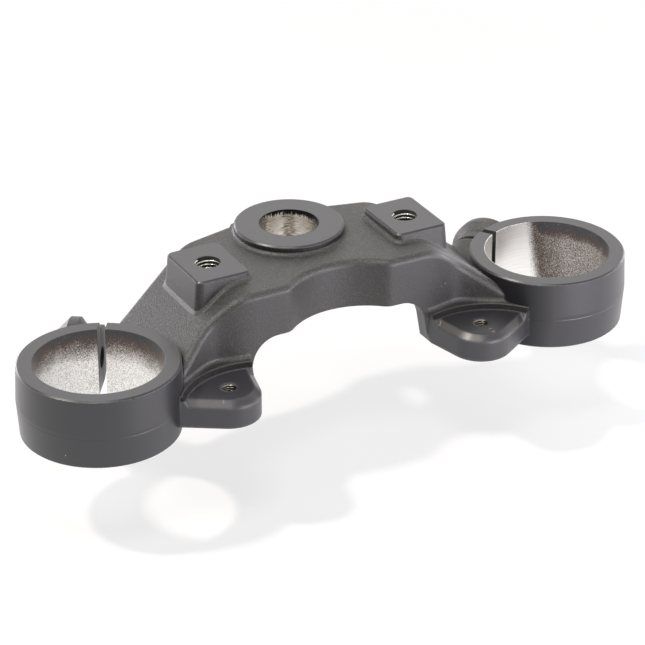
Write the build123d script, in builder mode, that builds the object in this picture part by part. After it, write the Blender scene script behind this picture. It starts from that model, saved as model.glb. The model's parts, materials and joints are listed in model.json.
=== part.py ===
from build123d import *
import os
from math import cos, radians, sin, sqrt, tan

# Motorcycle triple clamp: one black-coated aluminium casting that ties two fork tubes to the steering stem.
# Millimetres. The origin is on the stem axis at the hub's lower seat, +Z runs up the stem, +Y points to the
# rear of the motorcycle and +X to the right of a viewer who stands in front of it.

# Steering stem hub
stem_bore = 23.4
hub_wall = 10.0
hub_rise = 3.6
hub_foot_radius = 2.0

# Bridge over the stem
bridge_thickness = 19.5
bridge_half_width = 42.0
shoulder_radius = 16.0
crest_radius = 2.5

# Fork rings
fork_spacing = 196.7
stem_offset = 34.9
fork_bore = 50.0
ring_height = 28.5
ring_top = 3.5
ring_top_wall = 6.0
ring_belly_wall = 6.6
ring_foot_wall = 5.6
edge_break = 0.6

# Arms, with their front edge measured from the stem at the nose and from the fork line further out
arm_tuck = 2.6
arm_foot = 19.6
skirt = 6.5
roof = 7.0
hollow_corner = 4.0
rear_reach = 20.2
rear_sweep = 13.64
front_web = 33.9
scallop_radius = 30.4
front_reach = 42.6
nose_radius = 6.0
flat_end = 36.0
waist_ahead = 5.3
front_root_angle = 28.0
arch_half_width = 36.0
arch_foot_half_width = 39.6
arch_radius = 11.0

# Pinch slot and ears
slot_width = 3.0
slot_angle = 56.0
slot_shift = 3.35
pinch_reach = 33.0
pinch_drop = 2.4
pinch_clearance_hole = 8.5
pinch_tapped_hole = 6.8
pinch_tapped_depth = 14.0
pinch_head_recess = 14.5
pinch_head_depth = 3.0
ear_radius = 12.6
ear_inner_length = 14.0
ear_inner_radius = 6.0
collar_start = 8.1
collar_ramp = 2.2
collar_land = 3.7
collar_step = 2.7
collar_end = 20.6
collar_end_radius = 8.4

# Handlebar pads
pad_spacing = 86.5
pad_setback = 15.7
pad_width = 22.0
pad_length = 29.0
pad_corner = 2.5
pad_draft = 5.0
pad_root = 16.0
pad_foot_flare = 1.0
pad_thread = 10.0

# Front bracket lobes, each with a spot face that leaves a ledge at the arm's wall
lobe_spacing = 109.9
lobe_ahead = 21.3
lobe_tip_radius = 12.3
lobe_thickness = 10.9
lobe_bevel = 2.6
lobe_root_angle = 47.4
lobe_thread = 6.0
spot_face_radius = 31.0
spot_face_x = 49.5
ledge_rise = 2.1
ledge_width = 3.8
ledge_lean = 32.0
ledge_root_radius = 1.6

# Places and radii that follow from the sizes above
fork_x = fork_spacing / 2
fork_y = -stem_offset
fork_radius = fork_bore / 2
ring_radius = fork_radius + ring_top_wall
ring_heart = fork_radius + ring_top_wall / 2
ring_foot = ring_top - ring_height
ring_middle = ring_top - ring_height / 2
hub_radius = stem_bore / 2 + hub_wall
hub_foot = hub_radius + hub_foot_radius
hub_top = bridge_thickness + hub_rise
slot_direction = Vector(-cos(radians(slot_angle)), sin(radians(slot_angle)), 0)
bolt_direction = Vector(sin(radians(slot_angle)), cos(radians(slot_angle)), 0)
fork_centre = Vector(fork_x, fork_y, 0)
slot_start = fork_centre + bolt_direction * slot_shift
waist_y = fork_y - waist_ahead
lobe_x = lobe_spacing / 2
lobe_y = fork_y - lobe_ahead
lobe_top = lobe_thickness - arm_foot
spot_face_y = waist_y - ledge_width - spot_face_radius
ledge_top = lobe_top + ledge_rise
pad_x = pad_spacing / 2
pinch_z = ring_middle - pinch_drop
collar_radius = ear_radius + collar_step

# Two places this near count as one, and a face that leans less than this counts as a top
touch = 0.01
least_rise = 0.3

# The arm's top slopes from the bridge to a little below the ring's top face
slope_end_x = fork_x - ring_radius
slope_end_z = ring_top - arm_tuck
slope = (bridge_thickness - slope_end_z) / (slope_end_x - bridge_half_width)
slope_under_fork_z = slope_end_z - slope * ring_radius
elevation_foot = slope_under_fork_z - ring_height

# Plan of the bridge and arms: scalloped front, flat noses, flanks that swing forward to the rings, and a
# straight rear edge that ends where it meets the pinch slot
scallop_centre_y = -front_web - scallop_radius
nose_x = sqrt(scallop_radius**2 - (front_reach + scallop_centre_y) ** 2)
front_root = fork_centre + Vector(-ring_radius, 0, 0).rotate(Axis.Z, front_root_angle)
rear_lean = -tan(radians(rear_sweep))
rear_gap = rear_reach + rear_lean * slot_start.X - slot_start.Y
rear_root = slot_start + slot_direction * rear_gap / (slot_direction.Y - rear_lean * slot_direction.X)
flank_middle = Vector((flat_end + front_root.X) / 2, waist_y, 0)
with BuildSketch() as plan:
    with BuildLine():
        Line((nose_x, -front_reach), (flat_end, -front_reach))
        Spline(
            (flat_end, -front_reach),
            flank_middle,
            front_root,
            tangents=[(1, 0), (1, -tan(radians(front_root_angle)))],
        )
        Polyline(front_root, fork_centre, rear_root, (0, rear_reach))
        mirror(about=Plane.YZ)
        ThreePointArc((-nose_x, -front_reach), (0, -front_web), (nose_x, -front_reach))
    make_face()
    near_centre = plan.vertices().filter_by_position(Axis.X, -nose_x - touch, nose_x + touch)
    fillet(near_centre.group_by(Axis.Y)[0], nose_radius)

# Hollow underside of the right arm: front and rear walls hang from a roof that follows the slope
hollow_end_x = slope_end_x - edge_break
hollow_drop = roof * sqrt(1 + slope**2)
hollow_end_z = slope_end_z + slope * edge_break - hollow_drop
hollow_bend_x = bridge_half_width + (bridge_thickness - hollow_drop) / slope
hollow_start_x = arch_half_width - arch_radius
hollow_rear_reach = rear_reach - skirt * sqrt(1 + rear_lean**2)
with BuildPart() as hollow:
    with BuildSketch(Plane.XY.offset(ring_foot)) as hollow_plan:
        with BuildLine():
            Polyline(
                (hollow_start_x, skirt - front_reach),
                (flat_end, skirt - front_reach),
                (flank_middle.X, skirt + waist_y),
                (hollow_end_x, front_root.Y + 2 * skirt),
                (hollow_end_x, hollow_rear_reach + rear_lean * hollow_end_x),
                (hollow_start_x, hollow_rear_reach + rear_lean * hollow_start_x),
                close=True,
            )
        make_face()
        fillet(hollow_plan.vertices().group_by(Axis.X)[-1], hollow_corner)
    extrude(amount=-ring_foot)
    with BuildSketch(Plane.XZ):
        with BuildLine():
            Polyline(
                (hollow_start_x, ring_foot),
                (hollow_end_x, ring_foot),
                (hollow_end_x, hollow_end_z),
                (hollow_bend_x, 0),
                (hollow_start_x, 0),
                close=True,
            )
        make_face()
    extrude(amount=fork_spacing, both=True, mode=Mode.INTERSECT)


def outside_rings(edge):
    """True for an edge whose middle lies outside both fork rings in plan."""
    middle = edge.center()
    return (Vector(abs(middle.X), middle.Y, 0) - fork_centre).length > ring_radius


# Bridge and arms: the plan carried up to a roof line, with rounded crests along the front and the rear
with BuildPart() as bridge:
    with BuildSketch(Plane.XY.offset(-arm_foot)):
        add(plan.sketch)
    extrude(amount=arm_foot + bridge_thickness)
    with BuildSketch(Plane.XZ) as elevation:
        with BuildLine():
            Polyline(
                (-fork_x, elevation_foot),
                (fork_x, elevation_foot),
                (fork_x, slope_under_fork_z),
                (bridge_half_width, bridge_thickness),
                (-bridge_half_width, bridge_thickness),
                (-fork_x, slope_under_fork_z),
                close=True,
            )
        make_face()
        fillet(elevation.vertices().group_by(Axis.Y)[-1], shoulder_radius)
    extrude(amount=fork_spacing, both=True, mode=Mode.INTERSECT)
    top_edges = bridge.faces().filter_by(lambda face: face.normal_at().Z > least_rise).edges()
    long_edges = top_edges.filter_by(lambda edge: abs(edge.tangent_at(0.5).X) > least_rise)
    fillet(long_edges.filter_by(outside_rings), crest_radius)
    add(hollow.part, mode=Mode.SUBTRACT)
    mirror(hollow.part, about=Plane.YZ, mode=Mode.SUBTRACT)

# Right front lobe: a flange rounded about its thread, rooted in the arm's leg and in the ring
lobe_inner_root = Vector((arch_half_width + arch_foot_half_width) / 2, waist_y + skirt / 2, 0)
lobe_outer_root = fork_centre + Vector(-ring_heart, 0, 0).rotate(Axis.Z, lobe_root_angle)
lobe_ring_root = front_root + Vector(skirt / 2, skirt, 0)
with BuildPart() as lobe:
    with BuildSketch(Plane.XY.offset(-arm_foot)):
        with Locations((lobe_x, lobe_y)):
            Circle(lobe_tip_radius)
        Polygon(lobe_inner_root, lobe_outer_root, lobe_ring_root, align=None)
        make_hull()
    extrude(amount=arm_foot + ledge_top)
    with BuildSketch(Plane.XY.offset(ledge_top)):
        with Locations((spot_face_x, spot_face_y)):
            Circle(spot_face_radius)
    extrude(amount=-ledge_rise, taper=ledge_lean, mode=Mode.SUBTRACT)
    seat = lobe.faces().filter_by(Axis.Z).group_by(Axis.Z)[-2]
    chamfer(seat.edges().sort_by(Axis.Y)[:3], lobe_bevel)

# Right pinch ear: a round boss along the pinch bolt, with a collar for the bolt's head and a flat foot
pinch_centre = slot_start + slot_direction * pinch_reach + Vector(0, 0, pinch_z)
pinch_axis = Axis(pinch_centre, bolt_direction)
with BuildPart() as ear:
    with BuildSketch(Plane(pinch_centre, x_dir=bolt_direction, z_dir=-slot_direction)):
        with BuildLine():
            Polyline(
                (-ear_inner_length, 0),
                (-ear_inner_length, ear_inner_radius),
                (-slot_width / 2, ear_radius),
                (collar_start, ear_radius),
                (collar_start + collar_ramp, collar_radius),
                (collar_start + collar_ramp + collar_land, collar_radius),
                (collar_end, collar_end_radius),
                (collar_end, 0),
                close=True,
            )
        make_face()
    revolve(axis=pinch_axis)
    with BuildSketch(Plane(pinch_centre).offset(ring_foot - pinch_z)):
        Circle(collar_end + ear_inner_length)
    extrude(amount=ring_height, mode=Mode.INTERSECT)

# Cut for the right pinch bolt: the slot through ring and ear, and the stepped hole across it
with BuildPart() as pinch:
    with BuildSketch(Plane(slot_start + Vector(0, 0, ring_foot), x_dir=slot_direction, z_dir=(0, 0, 1))):
        Rectangle(pinch_reach + ring_height, slot_width, align=(Align.MIN, Align.CENTER))
    extrude(amount=ring_height)
    with BuildSketch(Plane(pinch_centre, x_dir=bolt_direction, z_dir=-slot_direction)):
        with BuildLine():
            Polyline(
                (-pinch_tapped_depth, 0),
                (-pinch_tapped_depth, pinch_tapped_hole / 2),
                (0, pinch_tapped_hole / 2),
                (0, pinch_clearance_hole / 2),
                (collar_end - pinch_head_depth, pinch_clearance_hole / 2),
                (collar_end - pinch_head_depth, pinch_head_recess / 2),
                (collar_end, pinch_head_recess / 2),
                (collar_end, 0),
                close=True,
            )
        make_face()
    revolve(axis=pinch_axis)

# Flared foot of the stem hub, kept within the bridge's plan
with BuildPart() as hub_flare:
    with BuildSketch(Plane.XZ):
        Rectangle(hub_foot, bridge_thickness + hub_foot_radius, align=Align.MIN)
        with Locations((hub_foot, bridge_thickness + hub_foot_radius)):
            Circle(hub_foot_radius, mode=Mode.SUBTRACT)
    revolve(axis=Axis.Z)
    with BuildSketch():
        add(plan.sketch)
    extrude(amount=hub_top, mode=Mode.INTERSECT)

# Right handlebar pad: a drafted block with a broken upper edge
with BuildPart() as pad:
    with BuildSketch(Plane.XY.offset(hub_top)):
        with Locations((pad_x, -pad_setback)):
            RectangleRounded(pad_width, pad_length, pad_corner)
    extrude(amount=-pad_root, taper=-pad_draft)
    chamfer(pad.faces().sort_by(Axis.Z)[-1].edges(), edge_break)

with BuildPart() as triple_clamp:
    add(bridge.part)
    add(lobe.part)
    mirror(lobe.part, about=Plane.YZ)

    # Arch under the bridge, between the arms' legs
    with BuildSketch(Plane.XZ) as arch:
        with BuildLine():
            Polyline(
                (-arch_foot_half_width, ring_foot),
                (arch_foot_half_width, ring_foot),
                (arch_foot_half_width, -arm_foot),
                (arch_half_width, 0),
                (-arch_half_width, 0),
                (-arch_foot_half_width, -arm_foot),
                close=True,
            )
        make_face()
        fillet(arch.vertices().group_by(Axis.Y)[-1], arch_radius)
    extrude(amount=fork_spacing, both=True, mode=Mode.SUBTRACT)

    # Handlebar pads, level with the hub's top
    add(pad.part)
    chamfer(triple_clamp.edges(Select.NEW), pad_foot_flare)
    mirror(pad.part, about=Plane.YZ)
    chamfer(triple_clamp.edges(Select.NEW), pad_foot_flare)

    # Stem hub with its foot
    add(hub_flare.part)
    with BuildSketch(Plane.XZ) as hub_profile:
        Rectangle(hub_radius, hub_top, align=Align.MIN)
        chamfer(hub_profile.vertices().group_by(Axis.Y)[-1].sort_by(Axis.X)[-1], edge_break)
    revolve(axis=Axis.Z)

    # Fork rings, drafted both ways from the parting line at half height
    for side in (-1, 1):
        ring_plane = Plane((side * fork_x, fork_y, 0), x_dir=(1, 0, 0), z_dir=(0, -1, 0))
        with BuildSketch(ring_plane) as ring_profile:
            with BuildLine():
                Polyline(
                    (0, ring_foot),
                    (fork_radius + ring_foot_wall, ring_foot),
                    (fork_radius + ring_belly_wall, ring_middle),
                    (ring_radius, ring_top),
                    (0, ring_top),
                    close=True,
                )
            make_face()
            rims = ring_profile.vertices().filter_by(lambda vertex: vertex.X > fork_radius)
            chamfer(rims.group_by(Axis.Y)[0] + rims.group_by(Axis.Y)[-1], edge_break)
        revolve(axis=Axis(ring_plane.origin, (0, 0, 1)))
    add(ear.part)
    mirror(ear.part, about=Plane.YZ)

    # Blend from the arms' front walls to the ledges
    level_edges = triple_clamp.edges().filter_by_position(Axis.Z, ledge_top - touch, ledge_top + touch)
    fillet(level_edges.filter_by(GeomType.BSPLINE), ledge_root_radius)

    # Bores and threaded holes
    with Locations((0, 0, hub_top)):
        Hole(stem_bore / 2)
    with Locations((-fork_x, fork_y, ring_top), (fork_x, fork_y, ring_top)):
        Hole(fork_radius)
    with Locations((-pad_x, -pad_setback, hub_top), (pad_x, -pad_setback, hub_top)):
        Hole(pad_thread / 2)
    with Locations((-lobe_x, lobe_y, lobe_top), (lobe_x, lobe_y, lobe_top)):
        Hole(lobe_thread / 2)

    # Pinch slots and bolt holes
    add(pinch.part, mode=Mode.SUBTRACT)
    mirror(pinch.part, about=Plane.YZ, mode=Mode.SUBTRACT)

triple_clamp.part.label = "triple_clamp"
os.makedirs("parts", exist_ok=True)
export_step(triple_clamp.part, "parts/triple_clamp.step")
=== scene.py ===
# %% [markdown]
# # A motorcycle triple clamp
# The part is one aluminium casting that ties two fork tubes to the steering stem. It was cast, machined on
# its seats and bores, and then sprayed with a satin black coating that stops a little way inside the bores.
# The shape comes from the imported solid, so this lesson adds what a solid can't hold: the finish of each
# surface, the turns of the threads, and a small studio to look at them in.

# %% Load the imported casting
import bpy
import json
from math import cos, pi, radians, sin
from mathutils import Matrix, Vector

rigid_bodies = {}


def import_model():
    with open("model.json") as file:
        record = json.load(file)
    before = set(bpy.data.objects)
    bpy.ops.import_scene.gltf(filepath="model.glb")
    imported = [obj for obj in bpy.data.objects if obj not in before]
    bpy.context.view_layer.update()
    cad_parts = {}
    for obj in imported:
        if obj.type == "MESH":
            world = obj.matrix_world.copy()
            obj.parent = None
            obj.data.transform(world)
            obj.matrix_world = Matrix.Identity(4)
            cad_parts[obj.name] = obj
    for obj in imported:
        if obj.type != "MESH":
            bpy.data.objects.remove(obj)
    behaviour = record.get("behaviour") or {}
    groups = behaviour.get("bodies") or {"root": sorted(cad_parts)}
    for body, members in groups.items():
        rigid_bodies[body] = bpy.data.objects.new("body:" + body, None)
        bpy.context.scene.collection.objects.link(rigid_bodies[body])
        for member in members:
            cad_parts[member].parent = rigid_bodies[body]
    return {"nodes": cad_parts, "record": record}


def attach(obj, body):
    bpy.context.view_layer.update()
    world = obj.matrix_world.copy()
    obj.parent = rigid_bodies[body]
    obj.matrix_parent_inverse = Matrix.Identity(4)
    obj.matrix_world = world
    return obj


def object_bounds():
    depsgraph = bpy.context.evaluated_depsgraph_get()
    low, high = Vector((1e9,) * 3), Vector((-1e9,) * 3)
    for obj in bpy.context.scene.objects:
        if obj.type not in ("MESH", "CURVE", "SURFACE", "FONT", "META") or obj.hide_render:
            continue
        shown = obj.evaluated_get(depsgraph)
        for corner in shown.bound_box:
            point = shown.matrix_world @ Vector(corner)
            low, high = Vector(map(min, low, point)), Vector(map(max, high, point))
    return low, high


for leftover in list(bpy.data.objects):
    bpy.data.objects.remove(leftover)
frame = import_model()
cad_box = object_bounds()
casting = frame["nodes"]["triple_clamp"]
mounts = {mount["name"]: mount for mount in frame["record"]["mounts"]}
mm = 0.001
print("casting box in mm:", [round(size / mm, 1) for size in cad_box[1] - cad_box[0]])

# %% [markdown]
# ## Camera
# The photograph was taken with a long lens from the front left, a little above. A lens could be found by
# trial and error. Here the two fork bores and the stem bore fix it: their circles show as ellipses whose
# shape and distance apart give the angles, the distance and the field of view.

# %% Camera at the photograph's angle
camera_azimuth = radians(-28.168)
camera_elevation = radians(28.115)
camera_distance = 1132.65 * mm
camera_target = Vector((1.63, -24.9, -10.16)) * mm
camera_lens = 161.38
sensor_width = 36.0


def towards(azimuth, elevation):
    """The direction from the part to a camera or a lamp. Azimuth is 0 in front and grows to the right."""
    return Vector((sin(azimuth) * cos(elevation), -cos(azimuth) * cos(elevation), sin(elevation)))


towards_camera = towards(camera_azimuth, camera_elevation)
camera_data = bpy.data.cameras.new("product_camera")
camera_data.lens = camera_lens
camera_data.sensor_width = sensor_width
camera = bpy.data.objects.new("product_camera", camera_data)
camera.location = camera_target + towards_camera * camera_distance
camera.rotation_euler = towards_camera.to_track_quat("Z", "Y").to_euler()
bpy.context.scene.collection.objects.link(camera)
bpy.context.scene.camera = camera
print("camera at mm:", [round(value / mm) for value in camera.location])

# %% [markdown]
# ## Helpers for materials
# Colours are picked as sRGB hex values, as in any paint program, but shaders add light in linear values.
# One function turns the first into the second. Another adds a node with its settings and links, so that a
# material reads as a list of steps, and a third starts an empty material. A Mix node has a pair of sockets
# for each kind of value, so its two colours go by number: 6 and 7 come in, and 2 goes out.

# %% Colour, node and material
def linear(hex_colour):
    """Linear RGBA of an sRGB colour such as "#808080"."""
    channels = [int(hex_colour[start:start + 2], 16) / 255 for start in (1, 3, 5)]
    return [c / 12.92 if c <= 0.04045 else ((c + 0.055) / 1.055) ** 2.4 for c in channels] + [1.0]


def add(tree, kind, inputs=None, **settings):
    """Adds a node. Inputs go by socket name or number, and take a value or another node's output socket."""
    node = tree.nodes.new(kind)
    for name, value in settings.items():
        setattr(node, name, value)
    for socket, value in (inputs or {}).items():
        if isinstance(value, bpy.types.NodeSocket):
            tree.links.new(value, node.inputs[socket])
        else:
            node.inputs[socket].default_value = value
    return node


def new_material(name):
    """A material with no nodes yet, and its tree."""
    material = bpy.data.materials.new(name)
    material.use_nodes = True
    material.node_tree.nodes.clear()
    return material, material.node_tree


print("middle grey in linear light:", round(linear("#808080")[0], 3))

# %% [markdown]
# ## Finish of the casting
# One skin covers the whole part: satin black coating on cast aluminium. Where it was masked, in the fork
# bores and the stem bore, the machined aluminium is bare. A mask could be painted on the mesh. Here it is
# worked out from the place of each point, as its distance from a bore's axis, because the bores are exact
# circles and the solid's mesh then stays as it was packed.

# %% Places of the bores
fork_bore = mounts["fork_clamp_right"]
stem_bore = mounts["stem_bore"]
bar_threads = mounts["bar_mount_threads"]
bracket_threads = mounts["bracket_threads"]
ring_top = fork_bore["pos_m"][2] + fork_bore["dims"]["length_mm"] * mm / 2
hub_top = bar_threads["pos_m"][2]
bore_places = {
    "fork bores": (fork_bore["pos_m"][0], fork_bore["pos_m"][1], fork_bore["dims"]["r_mm"] * mm),
    "stem bore": (0.0, 0.0, stem_bore["dims"]["r_mm"] * mm),
    "bar threads": (
        bar_threads["dims"]["spacing_x_mm"] * mm / 2,
        bar_threads["pos_m"][1],
        bar_threads["dims"]["hole_r_mm"] * mm,
    ),
    "bracket threads": (
        bracket_threads["dims"]["spacing_x_mm"] * mm / 2,
        bracket_threads["pos_m"][1],
        bracket_threads["dims"]["hole_r_mm"] * mm,
    ),
}
for name, (x, y, radius) in bore_places.items():
    print(name, "radius mm:", round(radius / mm, 2), "at x", round(x / mm, 2), "y", round(y / mm, 2))

# %% [markdown]
# A Texture Coordinate node gives each point's place on the part. The halves mirror each other, so the sign
# of x tells the left hand from the right, and one function serves both bores of a pair. A wall is found a
# little beyond its bore's radius, because a mesh is flat between its corners.

# %% Where a point lies
wall_reach = 0.15 * mm

# Satin paint on a casting gives the eye a dark surface with a broad soft shine.
coated_aluminium, skin = new_material("satin_black_coating_on_cast_aluminium")
place = add(skin, "ShaderNodeTexCoord").outputs["Object"]
across, along, height = add(skin, "ShaderNodeSeparateXYZ", {0: place}).outputs
hand = add(skin, "ShaderNodeMath", {0: across}, operation="SIGN").outputs[0]
on_right = add(skin, "ShaderNodeMath", {0: hand, 1: 0.0}, operation="GREATER_THAN").outputs[0]


def from_axis(x, y):
    """A point's offset from the nearer of two mirrored bore axes, and its distance from that axis."""
    axis_x = add(skin, "ShaderNodeMath", {0: hand, 1: x}, operation="MULTIPLY").outputs[0]
    offset_x = add(skin, "ShaderNodeMath", {0: across, 1: axis_x}, operation="SUBTRACT").outputs[0]
    offset_y = add(skin, "ShaderNodeMath", {0: along, 1: y}, operation="SUBTRACT").outputs[0]
    offset = add(skin, "ShaderNodeCombineXYZ", {0: offset_x, 1: offset_y}).outputs[0]
    reach = add(skin, "ShaderNodeVectorMath", {0: offset}, operation="LENGTH").outputs["Value"]
    return offset, reach


fork_x, fork_y, fork_radius = bore_places["fork bores"]
stem_x, stem_y, stem_radius = bore_places["stem bore"]
fork_offset, fork_reach = from_axis(fork_x, fork_y)
stem_offset, stem_reach = from_axis(stem_x, stem_y)
in_fork = add(skin, "ShaderNodeMath", {
    0: fork_reach, 1: fork_radius + wall_reach,
}, operation="LESS_THAN").outputs[0]
in_stem = add(skin, "ShaderNodeMath", {
    0: stem_reach, 1: stem_radius + wall_reach,
}, operation="LESS_THAN").outputs[0]
print("bore walls are found to", round(wall_reach / mm, 2), "mm")

# %% [markdown]
# ### Satin black coating
# Sand left a fine grain on the arms and the bridge. The rings and the seats on the hub and the pads were
# machined before they were coated, so they are smoother, and the front lobes are as smooth as they are.
# These parts could be materials of their own, but they blend into the arms, so they are masks too: inside a
# ring's radius, above the seats' height, or near a lobe and not above its top.

# %% Smooth parts
seat_band = 0.6 * mm
lobe_smooth_reach = 22 * mm
lobe_smooth_end = 27 * mm

ring_radius = cad_box[1].x - fork_x
on_ring = add(skin, "ShaderNodeMath", {
    0: fork_reach, 1: ring_radius + wall_reach,
}, operation="LESS_THAN").outputs[0]
on_seat = add(skin, "ShaderNodeMath", {
    0: height, 1: hub_top - seat_band,
}, operation="GREATER_THAN").outputs[0]
machined = add(skin, "ShaderNodeMath", {0: on_ring, 1: on_seat}, operation="MAXIMUM").outputs[0]
lobe_x, lobe_y, lobe_hole_radius = bore_places["bracket threads"]
lobe_top = bracket_threads["pos_m"][2]
lobe_offset, lobe_reach = from_axis(lobe_x, lobe_y)
near_lobe = add(skin, "ShaderNodeMapRange", {
    "Value": lobe_reach, "From Min": lobe_smooth_reach, "From Max": lobe_smooth_end,
    "To Min": 1.0, "To Max": 0.0,
}).outputs[0]
low = add(skin, "ShaderNodeMath", {0: height, 1: lobe_top + wall_reach}, operation="LESS_THAN").outputs[0]
on_lobe = add(skin, "ShaderNodeMath", {0: near_lobe, 1: low}, operation="MULTIPLY").outputs[0]
smooth = add(skin, "ShaderNodeMath", {0: machined, 1: on_lobe}, operation="MAXIMUM").outputs[0]
print("ring outer radius mm:", round(ring_radius / mm, 2))

# %% [markdown]
# The edges of a casting are never sharp. They could be rounded in the mesh, but that stays as it was
# packed, so a Bevel node rounds their shading: most on the lobes, less on cast edges and least on machined
# ones. The rounded normal also tells two things about a point. Where it hardly faces up, the wall is steep.
# Where it leaves the face's own normal, an edge is near.

# %% Rounded edges and steep walls
cast_edge_round = 0.9 * mm
lobe_edge_round = 1.8 * mm
machined_edge_round = 0.3 * mm
wall_facing_up = 0.2
slope_facing_up = 0.7

edge_round = add(skin, "ShaderNodeMapRange", {
    "Value": machined, "To Min": cast_edge_round, "To Max": machined_edge_round,
}).outputs[0]
edge_round = add(skin, "ShaderNodeMix", {
    "Factor": on_lobe, "A": edge_round, "B": lobe_edge_round,
}).outputs[0]
rounded = add(skin, "ShaderNodeBevel", {"Radius": edge_round}, samples=4).outputs[0]
facing_up = add(skin, "ShaderNodeSeparateXYZ", {0: rounded}).outputs["Z"]
steep = add(skin, "ShaderNodeMapRange", {
    "Value": facing_up, "From Min": wall_facing_up, "From Max": slope_facing_up,
    "To Min": 1.0, "To Max": 0.0,
}).outputs[0]
face_normal = add(skin, "ShaderNodeNewGeometry").outputs["Normal"]
flatness = add(skin, "ShaderNodeVectorMath", {
    0: rounded, 1: face_normal,
}, operation="DOT_PRODUCT").outputs["Value"]
edge_rounds = (lobe_edge_round, cast_edge_round, machined_edge_round)
print("edges rounded by mm:", [round(size / mm, 1) for size in edge_rounds])

# %% [markdown]
# The grain shows through the coating as light and dark points, because the spray lies thin on the tops of
# the grains. Real grains would take millions of faces, so a noise at their size mixes two blacks. Steep
# walls show half of it, and the smooth parts have an even colour that is a little cooler.

# %% Colour of the cast grain
cast_dark_colour = "#222121"
cast_light_colour = "#55524e"
machined_colour = "#2b2a2f"
# Moulding sand is about 0.25 mm, too fine to show here, so its grain is drawn coarser.
cast_grain_size = 0.6 * mm
wall_grain_tint = 0.5

grain = add(skin, "ShaderNodeTexNoise", {
    "Vector": place, "Scale": 1 / cast_grain_size, "Detail": 2.0, "Roughness": 0.6,
}).outputs["Fac"]
grain_tops = add(skin, "ShaderNodeMapRange", {
    "Value": grain, "From Min": 0.44, "From Max": 0.75,
}).outputs[0]
grain_share = add(skin, "ShaderNodeMapRange", {
    "Value": steep, "To Min": 1.0, "To Max": wall_grain_tint,
}).outputs[0]
grain_tint = add(skin, "ShaderNodeMath", {0: grain_tops, 1: grain_share}, operation="MULTIPLY").outputs[0]
cast_coat = add(skin, "ShaderNodeMix", {
    "Factor": grain_tint, 6: linear(cast_dark_colour), 7: linear(cast_light_colour),
}, data_type="RGBA").outputs[2]
coating = add(skin, "ShaderNodeMix", {
    "Factor": smooth, 6: cast_coat, 7: linear(machined_colour),
}, data_type="RGBA").outputs[2]
print("cast grain drawn at mm:", round(cast_grain_size / mm, 2))

# %% [markdown]
# The same noise is the relief that low light rakes over, so that each light point is also a raised one. It
# is lower on steep walls and nearly gone on the smooth parts, which shine a little more sharply too.

# %% Relief of the cast grain
wall_grain_height = 0.4
smooth_grain_height = 0.1
cast_roughness = 0.46
smooth_roughness = 0.36

coat_roughness = add(skin, "ShaderNodeMapRange", {
    "Value": smooth, "To Min": cast_roughness, "To Max": smooth_roughness,
}).outputs[0]
cast_height = add(skin, "ShaderNodeMapRange", {
    "Value": steep, "To Min": 1.0, "To Max": wall_grain_height,
}).outputs[0]
grain_height = add(skin, "ShaderNodeMix", {
    "Factor": smooth, "A": cast_height, "B": smooth_grain_height,
}).outputs[0]
relief = add(skin, "ShaderNodeMath", {0: grain, 1: grain_height}, operation="MULTIPLY").outputs[0]
print("roughness of the coating:", cast_roughness, "cast,", smooth_roughness, "smooth")

# %% [markdown]
# A ledge of hair's width runs round the outside of the rings, where the two halves of the mould met. It
# could be cut in the mesh, but it is so low that a step in the relief shows as much.

# %% Parting ledge
parting_height = -12.2 * mm
parting_width = 0.3 * mm
parting_step = 0.4

under_parting = add(skin, "ShaderNodeMapRange", {
    "Value": height, "From Min": parting_height - parting_width, "From Max": parting_height,
    "To Min": parting_step, "To Max": 0.0,
}).outputs[0]
outside_ring = add(skin, "ShaderNodeMath", {0: on_ring, 1: in_fork}, operation="SUBTRACT").outputs[0]
ledge = add(skin, "ShaderNodeMath", {0: under_parting, 1: outside_ring}, operation="MULTIPLY").outputs[0]
relief = add(skin, "ShaderNodeMath", {0: relief, 1: ledge}, operation="ADD").outputs[0]
print("parting ledge at mm:", round(parting_height / mm, 1))

# %% [markdown]
# The rings' top rims are rubbed a little lighter in points, as the grain is. The edges of the casting get an
# even painted highlight. Wear and highlight could be painted on the mesh, but they lie where the shape is
# sharpest, so the rounded normal already shows where.

# %% Rubbed rims and painted edge highlights
wear_and_highlight_colour = "#74706b"
worn_rim_width = 0.7 * mm
sharpest_edge = 0.8
flat_face = 0.99
most_edge_highlight = 0.55

near_rim = add(skin, "ShaderNodeMath", {
    0: fork_reach, 1: ring_radius, 2: worn_rim_width,
}, operation="COMPARE").outputs[0]
near_top = add(skin, "ShaderNodeMath", {
    0: height, 1: ring_top, 2: worn_rim_width,
}, operation="COMPARE").outputs[0]
worn_rim = add(skin, "ShaderNodeMath", {0: near_rim, 1: near_top}, operation="MULTIPLY").outputs[0]
worn_rim = add(skin, "ShaderNodeMath", {0: worn_rim, 1: grain_tops}, operation="MULTIPLY").outputs[0]
# Painted highlight: an even lightening where the rounded normal leaves the face's own.
painted_edge_highlight = add(skin, "ShaderNodeMapRange", {
    "Value": flatness, "From Min": sharpest_edge, "From Max": flat_face,
    "To Min": most_edge_highlight, "To Max": 0.0,
}).outputs[0]
wear_and_edge_highlight = add(skin, "ShaderNodeMath", {0: worn_rim, 1: painted_edge_highlight}, operation="MAXIMUM").outputs[0]
coating = add(skin, "ShaderNodeMix", {
    "Factor": wear_and_edge_highlight, 6: coating, 7: linear(wear_and_highlight_colour),
}, data_type="RGBA").outputs[2]
print("rims rubbed over mm:", round(worn_rim_width / mm, 1))

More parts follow.
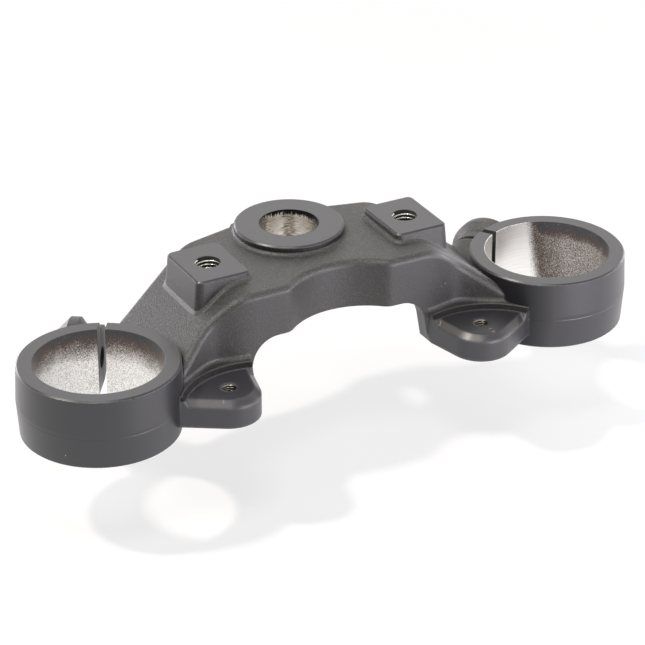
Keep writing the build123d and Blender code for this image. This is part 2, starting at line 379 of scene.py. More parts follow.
# %% [markdown]
# ### Painted shade in deep corners
# Deep corners get painted shade, nearly black: on the low wall behind each lobe's seat, under the hub's
# rim, where the arms meet the rings, and on the right lobe's seat. A darker colour alone would not show,
# because most of what the eye sees on black paint is its shine. So one mask is made for all four. It darkens
# the colour, and it takes the shine away later, where the surface is put together.

# %% Walls behind the seats and under the hub's rim
# Strength of the painted shade in the corners, on the colour and on the shine.
corner_shade = 0.9
# A spot face, round this axis, cut each lobe's seat out of the arm and left a low leaning wall.
spot_face_x = 49.5 * mm
spot_face_y = -75.0 * mm
spot_face_wall = 30.4 * mm
spot_face_band = 1.2 * mm
ledge_rise = 2.1 * mm
hub_corner_radius = 22.1 * mm
hub_corner_band = 0.55 * mm
hub_corner_drop = 1.7 * mm
hub_corner_rise = 0.9 * mm


def soft_band(value, middle, reach):
    """1 where a value lies near a middle, and fading to 0 over the last third of the reach."""
    away = add(skin, "ShaderNodeMath", {0: value, 1: middle}, operation="SUBTRACT").outputs[0]
    away = add(skin, "ShaderNodeMath", {0: away}, operation="ABSOLUTE").outputs[0]
    return add(skin, "ShaderNodeMapRange", {
        "Value": away, "From Min": reach * 2 / 3, "From Max": reach, "To Min": 1.0, "To Max": 0.0,
    }).outputs[0]


spot_face_reach = from_axis(spot_face_x, spot_face_y)[1]
seat_wall_shade = add(skin, "ShaderNodeMath", {
    0: soft_band(spot_face_reach, spot_face_wall, spot_face_band),
    1: soft_band(height, lobe_top + ledge_rise / 2, ledge_rise / 2),
}, operation="MULTIPLY").outputs[0]
hub_side_shade = add(skin, "ShaderNodeMath", {
    0: soft_band(stem_reach, hub_corner_radius, hub_corner_band),
    1: soft_band(height, hub_top - hub_corner_drop, hub_corner_rise),
}, operation="MULTIPLY").outputs[0]
# Painted shade: this mask darkens the low walls behind the seats and the hub's side.
corners = add(skin, "ShaderNodeMath", {0: seat_wall_shade, 1: hub_side_shade}, operation="MAXIMUM").outputs[0]
shade_and_matt = add(skin, "ShaderNodeMath", {0: corners, 1: corner_shade}, operation="MULTIPLY").outputs[0]
print("painted shade on the low walls:", len(skin.nodes), "nodes so far")

# %% [markdown]
# The ring's wall beside an arm gets painted shade too. It is a stretch of its circle, so it is found by how
# far a point lies from the ring's axis towards the arm. The direction is mirrored with the hand, as the axes
# are.

# %% Ring walls beside the arms
arm_angle = radians(62)
arm_corner_start = 0.8 * ring_radius
arm_corner_full = 0.98 * ring_radius
arm_corner_shade = 0.75
rim_depth = 1.0 * mm


def reach_along(offset, x, y):
    """How far an offset reaches along a level direction, which is given for the right hand."""
    mirrored_x = add(skin, "ShaderNodeMath", {0: hand, 1: x}, operation="MULTIPLY").outputs[0]
    direction = add(skin, "ShaderNodeCombineXYZ", {0: mirrored_x, 1: y}).outputs[0]
    return add(skin, "ShaderNodeVectorMath", {
        0: offset, 1: direction,
    }, operation="DOT_PRODUCT").outputs["Value"]


# Painted shade on the ring's wall beside the arm.
shade_beside_arm = add(skin, "ShaderNodeMapRange", {
    "Value": reach_along(fork_offset, -sin(arm_angle), -cos(arm_angle)),
    "From Min": arm_corner_start, "From Max": arm_corner_full, "To Min": 0.0, "To Max": arm_corner_shade,
}).outputs[0]
under_rim = add(skin, "ShaderNodeMath", {
    0: height, 1: ring_top - rim_depth,
}, operation="LESS_THAN").outputs[0]
for share in (outside_ring, under_rim):
    shade_beside_arm = add(skin, "ShaderNodeMath", {0: shade_beside_arm, 1: share}, operation="MULTIPLY").outputs[0]
shade_and_matt = add(skin, "ShaderNodeMath", {0: shade_and_matt, 1: shade_beside_arm}, operation="MAXIMUM").outputs[0]
print("painted shade beside the arms:", len(skin.nodes), "nodes so far")

# %% [markdown]
# The right lobe's seat gets half as much painted shade as the corners. The mask is then complete for the
# colour. The cast walls as a whole only lose a little shine, as if the spray came from above and reached
# them last, so they join the mask after the colour is mixed.

# %% Right lobe's seat and cast walls
# Nearly black: the colour of the painted shade, which the stem bore's coated mouth takes too.
shade_and_bore_coat_colour = "#0f0e0f"
right_seat_shade_strength = 0.45
cast_wall_matt = 0.1

# Painted shade on the right lobe's seat, half as strong as in the corners.
right_seat_shade = soft_band(height, lobe_top, wall_reach)
for share in (near_lobe, on_right, right_seat_shade_strength):
    right_seat_shade = add(skin, "ShaderNodeMath", {0: right_seat_shade, 1: share}, operation="MULTIPLY").outputs[0]
shade_and_matt = add(skin, "ShaderNodeMath", {0: shade_and_matt, 1: right_seat_shade}, operation="MAXIMUM").outputs[0]
coating = add(skin, "ShaderNodeMix", {
    "Factor": shade_and_matt, 6: coating, 7: linear(shade_and_bore_coat_colour),
}, data_type="RGBA").outputs[2]
cast_wall = add(skin, "ShaderNodeMath", {0: steep, 1: smooth}, operation="SUBTRACT").outputs[0]
cast_wall = add(skin, "ShaderNodeMath", {
    0: cast_wall, 1: cast_wall_matt,
}, operation="MULTIPLY").outputs[0]
shade_and_matt = add(skin, "ShaderNodeMath", {0: shade_and_matt, 1: cast_wall}, operation="MAXIMUM").outputs[0]
print("matt corners added:", len(skin.nodes), "nodes so far")

# %% [markdown]
# ### Painted highlights on the bevels and painted light on the slot walls
# Each lobe has a bevel round its top. Its flanks get a painted highlight, on the right more than on the
# left.
# It could be painted on the mesh, but a bevel follows a rule: it is a band of heights and of distances round
# the lobe's hole.

# %% Bevels of the lobes
bevel_height = 2.6 * mm
bevel_band = 0.45 * bevel_height
bevel_radius = 12.6 * mm
bevel_width = 3.4 * mm
flank_start = 2 * mm
flank_full = 9 * mm
left_highlight = 0.04
right_highlight = 0.3

lobe_across = add(skin, "ShaderNodeSeparateXYZ", {0: lobe_offset}).outputs["X"]
lobe_across = add(skin, "ShaderNodeMath", {0: lobe_across}, operation="ABSOLUTE").outputs[0]
flank = add(skin, "ShaderNodeMapRange", {
    "Value": lobe_across, "From Min": flank_start, "From Max": flank_full,
}).outputs[0]
highlight_share = add(skin, "ShaderNodeMapRange", {
    "Value": on_right, "To Min": left_highlight, "To Max": right_highlight,
}).outputs[0]
# Painted highlight on the bevel's flanks, in the colour of the rubbed rims.
lightened = soft_band(height, lobe_top - bevel_height / 2, bevel_band)
for share in (soft_band(lobe_reach, bevel_radius, bevel_width), flank, highlight_share):
    lightened = add(skin, "ShaderNodeMath", {0: lightened, 1: share}, operation="MULTIPLY").outputs[0]
coating = add(skin, "ShaderNodeMix", {
    "Factor": lightened, 6: coating, 7: linear(wear_and_highlight_colour),
}, data_type="RGBA").outputs[2]
print("bevels rubbed on the left and right:", left_highlight, right_highlight)

# %% [markdown]
# The slots were cut after the casting. Their walls get painted light, a grey lighter than the cast faces,
# where the lamps leave them in shade. A slot is a flat band behind the ring's axis, square to the pinch
# bolt, so the bolt's axis in the frame gives its direction.

# %% Walls of the slots
slot_wall_light_colour = "#67625f"
slot_shift = 3.35 * mm
slot_width = 3.0 * mm

bolt_x, bolt_y = mounts["pinch_bolt_right"]["axis"][:2]
slot_side = reach_along(fork_offset, bolt_x, bolt_y)
slot_run = reach_along(fork_offset, -bolt_y, bolt_x)
behind = add(skin, "ShaderNodeMath", {0: slot_run, 1: 0.0}, operation="GREATER_THAN").outputs[0]
# Painted light on the slot walls, which lie in shade.
painted_slot_light = add(skin, "ShaderNodeMath", {
    0: soft_band(slot_side, slot_shift, slot_width / 2 + wall_reach), 1: behind,
}, operation="MULTIPLY").outputs[0]
coating = add(skin, "ShaderNodeMix", {
    "Factor": painted_slot_light, 6: coating, 7: linear(slot_wall_light_colour),
}, data_type="RGBA").outputs[2]
print("slots found", round(slot_shift / mm, 2), "mm beside the rings' axes")

# %% [markdown]
# ### Marks of use
# A used part carries a few marks: a dark chip on the left ring's rim, a light speck low on its wall, a nick
# in the left lobe's bevel, and scuffs on the right lobe and the wall above it. Each is a small ball of
# another colour, set at the place where the photograph shows it. Two balls side by side make a longer mark.

# %% Specks, nick and scuffs
marks_in_mm = (
    ("chip in the left ring's rim", (-98.4, -65.8, 3.0), 0.5, "#0c0b0b"),
    ("speck on the left ring's wall", (-121.7, -55.2, -20.2), 0.25, "#b8b6b2"),
    ("nick in the left lobe's bevel", (-61.1, -64.0, -8.9), 0.35, "#6f6b65"),
    ("lower end of the nick", (-61.3, -64.5, -9.4), 0.35, "#6f6b65"),
    ("scuff on the wall above the right lobe", (47.8, -40.8, 3.0), 0.4, "#6b6863"),
    ("lower end of the scuff", (45.7, -41.3, 2.5), 0.35, "#625f5b"),
    ("scuff on the right lobe", (55.6, -62.5, -8.7), 0.6, "#5f5c58"),
    ("scuff at the right lobe's front", (55.4, -65.2, -8.7), 0.7, "#6b6863"),
    ("dark spot beside it", (53.7, -64.3, -8.7), 0.5, "#0f0e0e"),
)
for mark, middle, mark_radius, mark_colour in marks_in_mm:
    spot = tuple(value * mm for value in middle)
    away = add(skin, "ShaderNodeVectorMath", {0: place, 1: spot}, operation="DISTANCE").outputs["Value"]
    near = add(skin, "ShaderNodeMath", {0: away, 1: mark_radius * mm}, operation="LESS_THAN").outputs[0]
    coating = add(skin, "ShaderNodeMix", {
        "Factor": near, 6: coating, 7: linear(mark_colour),
    }, data_type="RGBA").outputs[2]
    print("mark:", mark)

# %% [markdown]
# ### Bare fork bores
# The rings were plugged from above while the part was sprayed, so the bores are bare aluminium. Some spray
# crept in: a coated band at the mouth, then a brown dust of overspray that thins out on the way down. The
# dust is denser towards the camera's right and thinner on the left walls, in the right bore much more than
# in the left one. The left side counts as extra depth here, because depth alone then gives the dust, and a
# slow noise makes the band's edge drift up and down.

# %% How deep the spray crept in
# The direction to the camera's right along the floor; the dust grows denser that way.
camera_right_angle = radians(-28)
camera_right = Vector((cos(camera_right_angle), sin(camera_right_angle), 0.0))
drift_length = 6 * mm
drift_height = 1.2 * mm
left_and_right = {
    "shelter depth": (1.2 * mm, 11.0 * mm),
    "shelter full": (-0.9, -0.3),
    "shelter end": (0.4, -0.05),
    "least dust": (0.32, 0.05),
}

by_hand = {}
for name, (left, right) in left_and_right.items():
    by_hand[name] = add(skin, "ShaderNodeMapRange", {
        "Value": on_right, "To Min": left, "To Max": right,
    }).outputs[0]
drift_noise = add(skin, "ShaderNodeTexNoise", {
    "Vector": place, "Scale": 1 / drift_length, "Detail": 3.0,
}).outputs["Fac"]
drift = add(skin, "ShaderNodeMapRange", {
    "Value": drift_noise, "From Min": 0.3, "From Max": 0.7, "To Min": -drift_height, "To Max": drift_height,
}).outputs[0]
toward_camera_right = add(skin, "ShaderNodeVectorMath", {
    0: fork_offset, 1: camera_right / fork_radius,
}, operation="DOT_PRODUCT").outputs["Value"]
leftward = add(skin, "ShaderNodeMapRange", {
    "Value": toward_camera_right, "From Min": by_hand["shelter full"], "From Max": by_hand["shelter end"],
    "To Min": by_hand["shelter depth"], "To Max": 0.0,
}).outputs[0]
fork_depth = add(skin, "ShaderNodeMath", {0: ring_top, 1: height}, operation="SUBTRACT").outputs[0]
for change in (drift, leftward):
    fork_depth = add(skin, "ShaderNodeMath", {0: fork_depth, 1: change}, operation="ADD").outputs[0]
print("the spray's edge drifts by mm:", round(drift_height / mm, 1))

# %% [markdown]
# The share of the wall that dust covers falls with depth. On the right half of the right bore it covers the
# whole height, up to a leaning edge, and thins out again towards the far side. The larger of the two shares
# holds.

# %% Share of overspray
coated_band = 3.8 * mm
overspray_end = 14.0 * mm
most_dust = 0.9
half_lean_per_mm = 0.009
half_edge = -0.47
half_full = -0.2
far_side = 0.25
half_dust = 0.76
far_side_thinner = 0.16

dust_share = add(skin, "ShaderNodeMapRange", {
    "Value": fork_depth, "From Min": coated_band, "From Max": overspray_end,
    "To Min": most_dust, "To Max": by_hand["least dust"],
}).outputs[0]
lean = add(skin, "ShaderNodeMath", {
    0: fork_depth, 1: half_lean_per_mm / mm,
}, operation="MULTIPLY").outputs[0]
leaning_side = add(skin, "ShaderNodeMath", {0: toward_camera_right, 1: lean}, operation="SUBTRACT").outputs[0]
dusted_half = add(skin, "ShaderNodeMapRange", {
    "Value": leaning_side, "From Min": half_edge, "From Max": half_full,
    "To Min": 0.0, "To Max": half_dust,
}).outputs[0]
thinner = add(skin, "ShaderNodeMapRange", {
    "Value": leaning_side, "From Min": half_full, "From Max": far_side,
    "To Min": 0.0, "To Max": far_side_thinner,
}).outputs[0]
dusted_half = add(skin, "ShaderNodeMath", {0: dusted_half, 1: thinner}, operation="SUBTRACT").outputs[0]
dusted_half = add(skin, "ShaderNodeMath", {
    0: dusted_half, 1: on_right,
}, operation="MULTIPLY").outputs[0]
dust_share = add(skin, "ShaderNodeMath", {0: dust_share, 1: dusted_half}, operation="MAXIMUM").outputs[0]
print("overspray thins out to", round(overspray_end / mm), "mm down the fork bores")

# %% [markdown]
# Grains of dust could be drawn one by one. Here a fine noise is cut at a level that is the share of dust, so
# that the grains close up towards the mouth, and a soft cut keeps them from looking like cut paper.

# %% Grains of overspray
# Spray dust is under 0.1 mm, too fine to show here, so its grains are drawn coarser.
dust_grain_size = 0.38 * mm
dust_softness = 0.25

dust_noise = add(skin, "ShaderNodeTexNoise", {
    "Vector": place, "Scale": 1 / dust_grain_size, "Detail": 1.0,
}).outputs["Fac"]
clear = add(skin, "ShaderNodeMath", {0: dust_noise, 1: dust_share}, operation="SUBTRACT").outputs[0]
clear = add(skin, "ShaderNodeMapRange", {
    "Value": clear, "From Min": -dust_softness, "From Max": dust_softness,
}).outputs[0]
bare_fork = add(skin, "ShaderNodeMath", {0: in_fork, 1: clear}, operation="MULTIPLY").outputs[0]
print("overspray drawn at mm:", round(dust_grain_size / mm, 2))

# %% [markdown]
# The bare wall is turned aluminium, bright, with fine marks that run round the hole. A noise that is drawn
# out sideways gives them, because its marks then change with height and hardly along the wall.

# %% Turned metal of the fork bores
metal_dark_colour = "#f5f2ee"
metal_light_colour = "#fdfcfa"
# A lathe feeds about 0.2 mm a turn, too fine to show here, so its marks are drawn coarser.
turning_pitch = 0.7 * mm
turning_stretch = (0.05, 0.05, 1.0)

turned_place = add(skin, "ShaderNodeVectorMath", {
    0: place, 1: turning_stretch,
}, operation="MULTIPLY").outputs[0]
turning_marks = add(skin, "ShaderNodeTexNoise", {
    "Vector": turned_place, "Scale": 1 / turning_pitch, "Detail": 2.0,
}).outputs["Fac"]
turned_shade = add(skin, "ShaderNodeMapRange", {
    "Value": turning_marks, "From Min": 0.25, "From Max": 0.65,
}).outputs[0]
fork_metal = add(skin, "ShaderNodeMix", {
    "Factor": turned_shade, 6: linear(metal_dark_colour), 7: linear(metal_light_colour),
}, data_type="RGBA").outputs[2]
print("turning marks drawn at mm:", round(turning_pitch / mm, 1))

# %% [markdown]
# ### Bare stem bore
# The coating ran a little way into the stem bore, further on the right side, and ends in a ragged edge of
# short runs. The runs could be a row of drops. Here a noise that is drawn out downwards shifts the edge's
# height. The coating there is real; it is drawn in the nearly black colour of the painted shade, and loses
# its shine as the corners do.

# %% Coated mouth of the stem bore
stem_coated_band = 1.5 * mm
stem_coat_fade = 1.6
stem_coat_lean = 0.8 * mm
run_width = 0.5 * mm
run_length = 1.0 * mm
run_stretch = (1.0, 1.0, 0.06)

stem_depth = add(skin, "ShaderNodeMath", {0: hub_top, 1: height}, operation="SUBTRACT").outputs[0]
down_the_bore = add(skin, "ShaderNodeVectorMath", {
    0: place, 1: run_stretch,
}, operation="MULTIPLY").outputs[0]
run_noise = add(skin, "ShaderNodeTexNoise", {
    "Vector": down_the_bore, "Scale": 1 / run_width, "Detail": 2.0,
}).outputs["Fac"]
runs = add(skin, "ShaderNodeMapRange", {
    "Value": run_noise, "From Min": 0.3, "From Max": 0.7, "To Min": -run_length, "To Max": run_length,
}).outputs[0]
stem_depth = add(skin, "ShaderNodeMath", {0: stem_depth, 1: runs}, operation="ADD").outputs[0]
stem_side = add(skin, "ShaderNodeVectorMath", {
    0: stem_offset, 1: camera_right / stem_radius,
}, operation="DOT_PRODUCT").outputs["Value"]
stem_depth = add(skin, "ShaderNodeMath", {
    0: stem_side, 1: -stem_coat_lean, 2: stem_depth,
}, operation="MULTIPLY_ADD").outputs[0]
stem_clear = add(skin, "ShaderNodeMapRange", {
    "Value": stem_depth, "From Min": stem_coated_band, "From Max": stem_coat_fade * stem_coated_band,
}).outputs[0]
bare_stem = add(skin, "ShaderNodeMath", {0: in_stem, 1: stem_clear}, operation="MULTIPLY").outputs[0]
stem_coat = add(skin, "ShaderNodeMath", {0: in_stem, 1: bare_stem}, operation="SUBTRACT").outputs[0]
shade_and_matt = add(skin, "ShaderNodeMath", {0: shade_and_matt, 1: stem_coat}, operation="MAXIMUM").outputs[0]
# The coated mouth takes the nearly black colour and the lost shine of the painted shade.
coating = add(skin, "ShaderNodeMix", {
    "Factor": stem_coat, 6: coating, 7: linear(shade_and_bore_coat_colour),
}, data_type="RGBA").outputs[2]
print("coating reaches", round(stem_coated_band / mm, 1), "mm into the stem bore")

# %% [markdown]
# Below its mouth the stem bore is bare. The boring tool left fine marks round the hole, and the wall
# mirrors its own far side as broad bright and dull bands that run down it. Left to the reflections alone
# the bands came out too even, so they are painted reflections: a wave across the hole, added to a noise for
# the marks.

# %% Bored metal of the stem bore
stem_dark_colour = "#857a6c"
stem_light_colour = "#fffcf6"
band_waves = 6.5
band_depth = 0.18
# The tool's marks are finer than this, and are drawn coarser so that they show.
bore_mark_pitch = 0.5 * mm
bore_mark_stretch = (0.25, 0.25, 1.0)

band_phase = add(skin, "ShaderNodeMath", {0: stem_side, 1: band_waves}, operation="MULTIPLY").outputs[0]
painted_reflection_band = add(skin, "ShaderNodeMath", {0: band_phase}, operation="COSINE").outputs[0]
round_bore = add(skin, "ShaderNodeVectorMath", {
    0: place, 1: bore_mark_stretch,
}, operation="MULTIPLY").outputs[0]
bore_marks = add(skin, "ShaderNodeTexNoise", {
    "Vector": round_bore, "Scale": 1 / bore_mark_pitch, "Detail": 2.0,
}).outputs["Fac"]
stem_shade = add(skin, "ShaderNodeMath", {
    0: painted_reflection_band, 1: -band_depth, 2: bore_marks,
}, operation="MULTIPLY_ADD").outputs[0]
stem_shade = add(skin, "ShaderNodeMapRange", {
    "Value": stem_shade, "From Min": 0.25, "From Max": 0.64,
}).outputs[0]
stem_metal = add(skin, "ShaderNodeMix", {
    "Factor": stem_shade, 6: linear(stem_dark_colour), 7: linear(stem_light_colour),
}, data_type="RGBA").outputs[2]
print("boring marks drawn at mm:", round(bore_mark_pitch / mm, 1))

# %% [markdown]
# ### One surface from all of them
# The masks choose, at each point, between coating, overspray and bare metal. Two shaders could be mixed, but
# one is enough, because the colour, the metal share and the roughness change together at the same edges.

# %% Colour and roughness at each point
overspray_colour = "#4a3425"
metal_roughness = 0.34

bare = add(skin, "ShaderNodeMath", {0: bare_fork, 1: bare_stem}, operation="MAXIMUM").outputs[0]
below_band = add(skin, "ShaderNodeMapRange", {
    "Value": fork_depth, "From Min": 0.5 * coated_band, "From Max": 1.5 * coated_band,
}).outputs[0]
dusty = add(skin, "ShaderNodeMath", {0: in_fork, 1: below_band}, operation="MULTIPLY").outputs[0]
cover = add(skin, "ShaderNodeMix", {
    "Factor": dusty, 6: coating, 7: linear(overspray_colour),
}, data_type="RGBA").outputs[2]
metal = add(skin, "ShaderNodeMix", {
    "Factor": in_stem, 6: fork_metal, 7: stem_metal,
}, data_type="RGBA").outputs[2]
colour = add(skin, "ShaderNodeMix", {"Factor": bare, 6: cover, 7: metal}, data_type="RGBA").outputs[2]
roughness = add(skin, "ShaderNodeMix", {
    "Factor": bare, "A": coat_roughness, "B": metal_roughness,
}).outputs[0]
print("bare metal has roughness", metal_roughness)

# %% [markdown]
# The shader takes them, with the relief as a bump over the rounded edges. Paint keeps the usual IOR, and the
# mask of painted shade and matt walls lowers its shine. A little sheen stands for the haze that satin paint
# shows at a low angle.

# %% Surface of the casting
relief_depth = 0.4 * mm
relief_strength = 0.6
satin_shine = 0.8
matt_shine = 0.1
haze = 0.2
haze_roughness = 0.35

bump = add(skin, "ShaderNodeBump", {
    "Height": relief, "Strength": relief_strength, "Distance": relief_depth, "Normal": rounded,
}).outputs[0]
shine = add(skin, "ShaderNodeMapRange", {
    "Value": shade_and_matt, "To Min": satin_shine, "To Max": matt_shine,
}).outputs[0]
surface = add(skin, "ShaderNodeBsdfPrincipled", {
    "Base Color": colour, "Metallic": bare, "Roughness": roughness, "Normal": bump,
    "Specular IOR Level": shine, "Sheen Weight": haze, "Sheen Roughness": haze_roughness,
}).outputs[0]
add(skin, "ShaderNodeOutputMaterial", {"Surface": surface})
casting.material_slots[0].material = coated_aluminium
print("coated casting:", len(skin.nodes), "nodes")

# %% [markdown]
# ## Threads
# The bar pads take M10 bolts and the front lobes take M6. A tap cut each thread, which leaves a sharp ridge
# of bare metal that climbs the hole's wall. It gives the eye a stack of bright lines. The low threads in the
# lobes get painted shade, darker than the ones in the pads, so one metal takes its colour from the height.

# %% Tapped metal
# The pads' threads keep the bright colour; the lobes' threads get the painted-shade colour below.
bright_thread_colour = "#ece9e3"
shaded_thread_colour = "#aaa59d"
tapped_roughness = 0.24

tapped_metal, tapped_tree = new_material("bare_tapped_aluminium")
thread_place = add(tapped_tree, "ShaderNodeTexCoord").outputs["Object"]
thread_height = add(tapped_tree, "ShaderNodeSeparateXYZ", {0: thread_place}).outputs["Z"]
in_lobe = add(tapped_tree, "ShaderNodeMath", {
    0: thread_height, 1: ring_top,
}, operation="LESS_THAN").outputs[0]
thread_colour = add(tapped_tree, "ShaderNodeMix", {
    "Factor": in_lobe, 6: linear(bright_thread_colour), 7: linear(shaded_thread_colour),
}, data_type="RGBA").outputs[2]
tapped_surface = add(tapped_tree, "ShaderNodeBsdfPrincipled", {
    "Base Color": thread_colour, "Metallic": 1.0, "Roughness": tapped_roughness,
}).outputs[0]
add(tapped_tree, "ShaderNodeOutputMaterial", {"Surface": tapped_surface})
print("tapped metal:", len(tapped_tree.nodes), "nodes")

# %% [markdown]
# The ridge could be a bump in the material, but it shows in profile at the mouth of the hole, so it is real
# geometry: a Geometry Nodes tree sweeps a three-sided tooth along a spiral, with the hole's size, the pitch
# and the length as its inputs. The curve's normals are held upright, so that the tooth doesn't twist.

# %% Thread tree
tooth_sides = 3
steps_in_a_turn = 40

thread_tree = bpy.data.node_groups.new("tapped_thread", "GeometryNodeTree")
thread_tree.interface.new_socket("Geometry", in_out="OUTPUT", socket_type="NodeSocketGeometry")
thread_inputs = {}
for name in ("Hole radius", "Pitch", "Tooth size", "Length"):
    socket = thread_tree.interface.new_socket(name, in_out="INPUT", socket_type="NodeSocketFloat")
    thread_inputs[name] = socket.identifier
sizes = add(thread_tree, "NodeGroupInput").outputs
turns = add(thread_tree, "ShaderNodeMath", {
    0: sizes["Length"], 1: sizes["Pitch"],
}, operation="DIVIDE").outputs[0]
spiral = add(thread_tree, "GeometryNodeCurveSpiral", {
    "Resolution": steps_in_a_turn, "Rotations": turns, "Start Radius": sizes["Hole radius"],
    "End Radius": sizes["Hole radius"], "Height": sizes["Length"],
}).outputs[0]
tooth = add(thread_tree, "GeometryNodeCurvePrimitiveCircle", {
    "Resolution": tooth_sides, "Radius": sizes["Tooth size"],
}).outputs[0]
upright = add(thread_tree, "GeometryNodeSetCurveNormal", {"Curve": spiral}, mode="Z_UP").outputs[0]
ridge = add(thread_tree, "GeometryNodeCurveToMesh", {
    "Curve": upright, "Profile Curve": tooth, "Fill Caps": True,
}).outputs[0]
ridge = add(thread_tree, "GeometryNodeRealizeInstances", {0: ridge}).outputs[0]
ridge = add(thread_tree, "GeometryNodeSetMaterial", {
    "Geometry": ridge, "Material": tapped_metal,
}).outputs[0]
add(thread_tree, "NodeGroupOutput", {0: ridge})
print("thread tree inputs:", list(thread_inputs))

# %% [markdown]
# Each thread is made by the tree on a holder object, turned into a plain mesh and moved into its hole. It
# could stay a live modifier, but a piece has to be a plain mesh with its place in it. It starts a little
# under the mouth, and the pitches are the coarse ones of M10 and M6.

# %% Threads in the pads and lobes
tooth_per_pitch = 0.45
bar_thread_start = 0.8 * mm
bar_pitch = 1.5 * mm
bar_thread_length = 22 * mm
bracket_thread_start = 0.6 * mm
bracket_pitch = 1.0 * mm
bracket_thread_length = 10 * mm


def cut_thread(name, mouth, hole_radius, pitch, length):
    """One thread as a plain mesh, from its upper mouth down, riding on the casting."""
    holder = bpy.data.objects.new(name + "_holder", bpy.data.meshes.new(name))
    bpy.context.scene.collection.objects.link(holder)
    modifier = holder.modifiers.new("thread", "NODES")
    modifier.node_group = thread_tree
    values = {
        "Hole radius": hole_radius, "Pitch": pitch, "Tooth size": tooth_per_pitch * pitch, "Length": length,
    }
    for label, value in values.items():
        modifier[thread_inputs[label]] = value
    evaluated = holder.evaluated_get(bpy.context.evaluated_depsgraph_get())
    mesh = bpy.data.meshes.new_from_object(evaluated)
    bpy.data.objects.remove(holder)
    for vertex in mesh.vertices:
        vertex.co += Vector(mouth) - Vector((0, 0, length))
    piece = bpy.data.objects.new(name, mesh)
    bpy.context.scene.collection.objects.link(piece)
    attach(piece, "root")
    print(name, "triangles:", len(mesh.loop_triangles))


for side, side_name in ((-1, "left"), (1, "right")):
    x, y, radius = bore_places["bar threads"]
    bar_mouth = (side * x, y, hub_top - bar_thread_start)
    cut_thread(f"bar_thread_{side_name}", bar_mouth, radius, bar_pitch, bar_thread_length)
    bracket_mouth = (side * lobe_x, lobe_y, lobe_top - bracket_thread_start)
    lobe_sizes = (lobe_hole_radius, bracket_pitch, bracket_thread_length)
    cut_thread(f"bracket_thread_{side_name}", bracket_mouth, *lobe_sizes)

# %% [markdown]
# ## Studio
# The part stands over white paper. A share of the paper's white near it is real reflected light, in which
# the shadow shows, and the rest is a glow. The share fades out with distance, so that the far floor is plain
# white from any side. The glow shows to the camera and in reflections, and gives no diffuse light, so that
# it doesn't brighten the part from below.

# %% White paper
floor_shadow_share = 0.42
shadow_reach = 260 * mm
shadow_fade = 500 * mm


def seen_directly(tree):
    """1 on a ray from the camera, off a shiny face or through a clear one, and 0 on diffuse light."""
    rays = add(tree, "ShaderNodeLightPath").outputs
    seen = rays["Is Camera Ray"]
    for kind in ("Is Glossy Ray", "Is Transmission Ray"):
        seen = add(tree, "ShaderNodeMath", {0: seen, 1: rays[kind]}, operation="MAXIMUM").outputs[0]
    return seen


paper, paper_tree = new_material("white_paper_floor")
floor_place = add(paper_tree, "ShaderNodeTexCoord").outputs["Object"]
from_middle = add(paper_tree, "ShaderNodeVectorMath", {
    0: floor_place,
}, operation="LENGTH").outputs["Value"]
lit_share = add(paper_tree, "ShaderNodeMapRange", {
    "Value": from_middle, "From Min": shadow_reach, "From Max": shadow_fade,
    "To Min": floor_shadow_share, "To Max": 0.0,
}).outputs[0]
lit_paper = add(paper_tree, "ShaderNodeBsdfDiffuse", {"Color": lit_share}).outputs[0]
glow_share = add(paper_tree, "ShaderNodeMath", {0: 1.0, 1: lit_share}, operation="SUBTRACT").outputs[0]
glow_level = add(paper_tree, "ShaderNodeMath", {
    0: seen_directly(paper_tree), 1: glow_share,
}, operation="MULTIPLY").outputs[0]
glow = add(paper_tree, "ShaderNodeEmission", {"Strength": glow_level}).outputs[0]
lit_and_glowing = add(paper_tree, "ShaderNodeAddShader", {0: lit_paper, 1: glow}).outputs[0]
add(paper_tree, "ShaderNodeOutputMaterial", {"Surface": lit_and_glowing})
print("paper:", len(paper_tree.nodes), "nodes")

# %% [markdown]
# The floor is one large square. It lies well under the part, as under a clear stand, because the shadow in
# the photograph falls apart from the part.

# %% Floor
floor_drop = 42 * mm
floor_half_width = 6.0

floor_height = cad_box[0].z - floor_drop
floor_corners = [
    (x * floor_half_width, y * floor_half_width, floor_height)
    for x, y in ((-1, -1), (1, -1), (1, 1), (-1, 1))
]
floor_mesh = bpy.data.meshes.new("floor")
floor_mesh.from_pydata(floor_corners, [], [(0, 1, 2, 3)])
floor = bpy.data.objects.new("floor", floor_mesh)
floor.data.materials.append(paper)
bpy.context.scene.collection.objects.link(floor)
print("floor at mm:", round(floor_height / mm, 1))

# %% [markdown]
# The world is plain white to the camera and in reflections too, as a white room would be. As a light it is
# dimmer, so that the lamps shape the part.

# %% World
world_light = 0.45
plain_white = 1.0

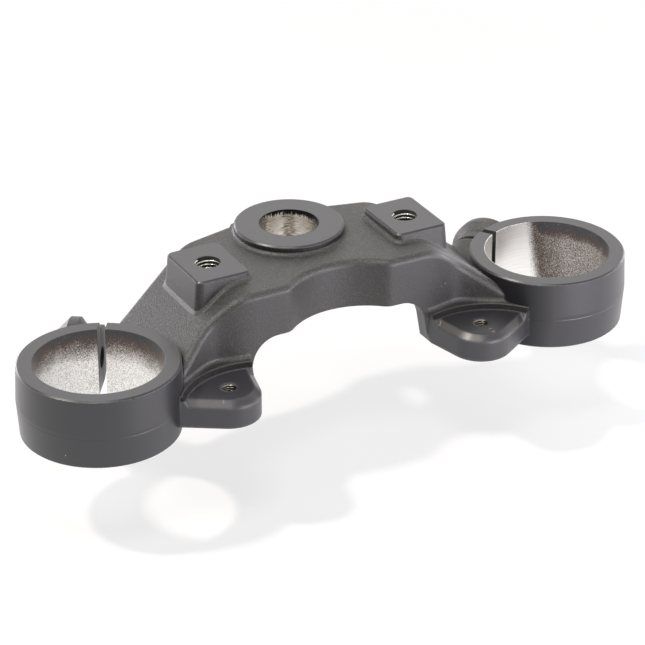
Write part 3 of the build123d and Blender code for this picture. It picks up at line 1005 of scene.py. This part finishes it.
world = bpy.data.worlds.new("studio")
world.use_nodes = True
world.node_tree.nodes.clear()
bpy.context.scene.world = world
world_strength = add(world.node_tree, "ShaderNodeMapRange", {
    "Value": seen_directly(world.node_tree), "To Min": world_light, "To Max": plain_white,
}).outputs[0]
white_room = add(world.node_tree, "ShaderNodeBackground", {"Strength": world_strength}).outputs[0]
add(world.node_tree, "ShaderNodeOutputWorld", {"Surface": white_room})
print("world light:", world_light)

# %% [markdown]
# ## Lamps
# A small key lamp from the upper left throws the shadow. Larger lamps behind and above fill the top faces,
# and low lamps round the part light its walls. Each lamp's power could be set by eye. Here it is worked out
# from the brightness it gives a white card, so that they keep to a level at which a colour looks as it was
# written.

# %% Softboxes
def softbox(name, azimuth, elevation, distance, width, tall, level, colour):
    """An area lamp aimed at the part. Level is the brightness it alone gives a white card facing it."""
    towards_lamp = towards(radians(azimuth), radians(elevation))
    lamp = bpy.data.lights.new(name, "AREA")
    lamp.shape = "RECTANGLE"
    lamp.size = width
    lamp.size_y = tall
    lamp.energy = level * pi * pi * distance ** 2
    lamp.color = linear(colour)[:3]
    stand = bpy.data.objects.new(name, lamp)
    stand.location = camera_target + towards_lamp * distance
    stand.rotation_euler = towards_lamp.to_track_quat("Z", "Y").to_euler()
    bpy.context.scene.collection.objects.link(stand)
    print(name, "watts:", round(lamp.energy, 1))


softbox(
    "key_softbox", azimuth=-98, elevation=55, distance=1.4,
    width=0.1, tall=0.1, level=0.47, colour="#fff8f0",
)
softbox(
    "back_softbox", azimuth=152, elevation=35, distance=1.2,
    width=0.9, tall=0.9, level=0.15, colour="#fffaf4",
)
softbox(
    "top_softbox", azimuth=-36, elevation=64, distance=1.0,
    width=0.3, tall=0.3, level=0.18, colour="#fffaf4",
)
softbox(
    "front_right_softbox", azimuth=24, elevation=3, distance=0.45,
    width=0.3, tall=0.16, level=0.7, colour="#faf6ff",
)
softbox(
    "left_softbox", azimuth=-150, elevation=3, distance=0.5,
    width=0.5, tall=0.16, level=0.6, colour="#fbf8ff",
)
softbox(
    "right_softbox", azimuth=82, elevation=3, distance=0.5,
    width=0.5, tall=0.16, level=0.6, colour="#fbf8ff",
)
bpy.context.scene.view_settings.view_transform = "Standard"
